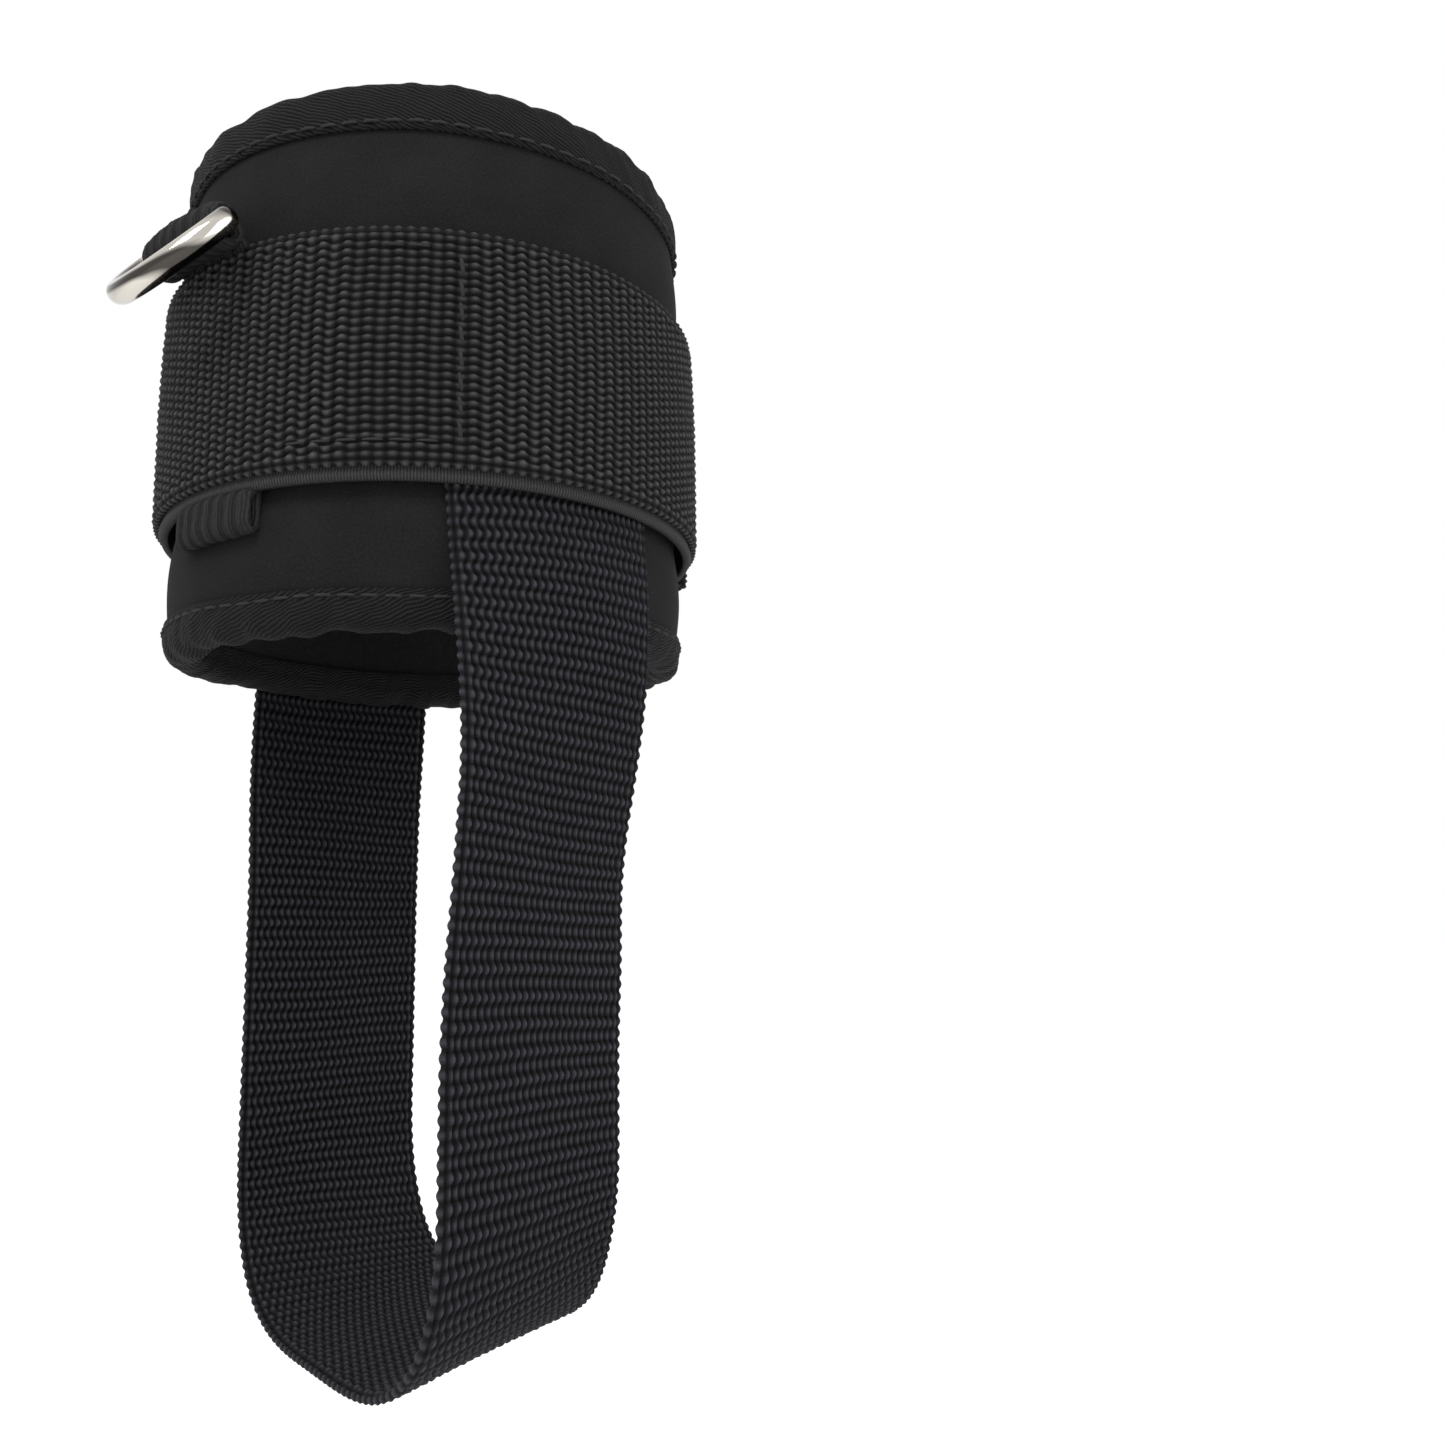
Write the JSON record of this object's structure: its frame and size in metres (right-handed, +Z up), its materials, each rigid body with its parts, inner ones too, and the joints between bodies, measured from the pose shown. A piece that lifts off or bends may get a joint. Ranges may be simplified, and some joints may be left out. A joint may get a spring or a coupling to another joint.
{
  "type": "ankle cuff weight",
  "caption": "Padded ankle cuff with a wrapped webbing strap, a D-ring held by a webbing keeper and a stirrup loop under the foot.",
  "frame": {"origin": "centre of the ankle opening, half way up the pad", "axes": "+Z up the leg along the ankle opening, -Y towards the outer face with the box stitch, +X to that face's right"},
  "size_m": [0.1052, 0.1094, 0.2055],
  "materials": {
    "cover": "matte, smooth, fine knit",
    "lining": "matte, brushed",
    "foam": "matte",
    "binding": "matte twill",
    "webbing": "matte, coarse weave",
    "tape": "matte, fine rib",
    "fastener": "hook and loop pile",
    "ring": "polished nickel plate",
    "thread": "matte thread"
  },
  "bodies": {
    "cuff": {"lining": "lining", "foam_core": "foam", "outer_cover": "cover", "top_binding": "binding", "bottom_binding": "binding", "end_bindings": "binding", "wrap_strap": "webbing", "backing_tape": "tape", "loop_tape": "fastener", "ring_keeper": "tape", "front_leg_end": "webbing", "back_leg_end": "webbing", "strap_box_stitch": "thread", "top_binding_stitch": "thread", "bottom_binding_stitch": "thread"},
    "ring": {"d_ring": "ring"},
    "foot_loop": {"foot_loop": "webbing"},
    "tab": {"strap_tab": "webbing", "hook_tape": "fastener", "tab_hem": "webbing", "tab_stitch": "thread"}
  },
  "joints": [
    {"name": "ring_hinge", "type": "hinge", "parent": "cuff", "child": "ring", "pos_m": [-0.04098, -0.03201, 0.022], "axis": [0.6157, -0.788, 0], "range_deg": [-126, 31]},
    {"name": "loop_swing", "type": "hinge", "parent": "cuff", "child": "foot_loop", "pos_m": [0, 0, -0.066], "axis": [0.4067, -0.9135, 0], "range_deg": [-20, 20]},
    {"name": "tab_fold", "type": "hinge", "parent": "cuff", "child": "tab", "pos_m": [0.01214, 0.05056, 0], "axis": [0, 0, 1], "range_deg": [0, 80]}
  ]
}
